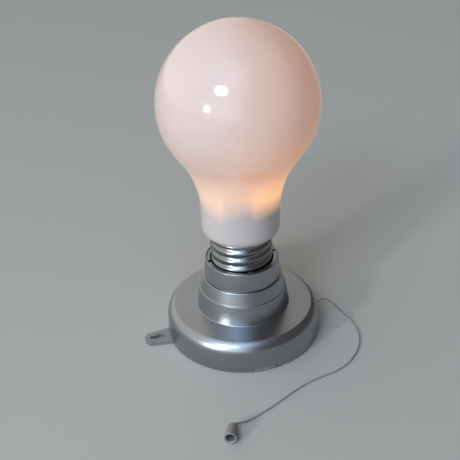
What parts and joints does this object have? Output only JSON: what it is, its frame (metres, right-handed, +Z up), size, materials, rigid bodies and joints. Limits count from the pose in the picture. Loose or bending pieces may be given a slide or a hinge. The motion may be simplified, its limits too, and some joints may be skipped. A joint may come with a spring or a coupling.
{
  "type": "pull-cord bulb lamp",
  "caption": "Battery lamp in the form of a large light bulb in a stepped socket base, with a pull cord, a twist-lock bulb, a battery door and a keyhole tab to hang it by.",
  "frame": {"origin": "centre of the base on the surface that the lamp stands on, below the bulb's axis", "axes": "+Z up along the bulb's axis; -X towards the hanger tab, +X towards the cord's exit, -Y towards the battery door's latch"},
  "size_m": [0.1643, 0.1848, 0.2479],
  "materials": {
    "silver_paint": "satin silver paint on moulded plastic",
    "grey_plastic": "plain silver-grey moulded plastic",
    "cell": "plain printed sleeve, no lettering",
    "spring_steel": "nickel-plated",
    "switch_plastic": "black moulded plastic",
    "screw_steel": "zinc-plated",
    "white_plastic": "white moulded plastic",
    "bush_plastic": "grey moulded plastic",
    "cord": "pale grey twisted cord",
    "pull_paint": "matt silver-grey paint",
    "board": "circuit board",
    "led": "clear warm-white lamp",
    "wire_red": "plastic insulation",
    "wire_black": "plastic insulation",
    "bright_metal": "bright metal plating on moulded plastic",
    "opal": "glossy opal plastic that glows from inside"
  },
  "bodies": {
    "base": {"base_housing": "silver_paint", "back_plate": "grey_plastic", "battery_1": "cell", "battery_2": "cell", "battery_3": "cell", "spring_contacts": "spring_steel", "plate_contacts": "spring_steel", "switch_body": "switch_plastic", "switch_cover": "switch_plastic", "switch_screws": "screw_steel", "return_spring": "spring_steel", "cord_bush": "bush_plastic", "socket_collar": "silver_paint", "socket_sleeve": "silver_paint", "lamp_post": "white_plastic", "post_screws": "screw_steel", "housing_screws": "screw_steel", "led_board": "board", "led_1": "led", "led_2": "led", "reflector": "white_plastic", "board_screws": "screw_steel", "wire_red": "wire_red", "wire_black": "wire_black", "wire_switch": "wire_black"},
    "bulb": {"thread_cap": "bright_metal", "globe": "opal"},
    "door": {"battery_door": "grey_plastic"},
    "cord": {"switch_slider": "white_plastic", "pull_cord": "cord", "cord_knot": "cord", "pull": "pull_paint"}
  },
  "joints": [
    {"name": "bulb_twist", "type": "hinge", "parent": "base", "child": "bulb", "pos_m": [0, 0, 0.0594], "axis": [0, 0, 1], "range_deg": [0, 30]},
    {"name": "door_swing", "type": "hinge", "parent": "base", "child": "door", "pos_m": [0, -0.0038, 0.0008], "axis": [1, 0, 0], "range_deg": [0, 85]},
    {"name": "cord_pull", "type": "slide", "parent": "base", "child": "cord", "axis": [1, 0, 0], "range_m": [0, 0.006], "stiffness_N_per_m": 150, "springref_m": -0.003, "deforming": ["return_spring"]}
  ]
}
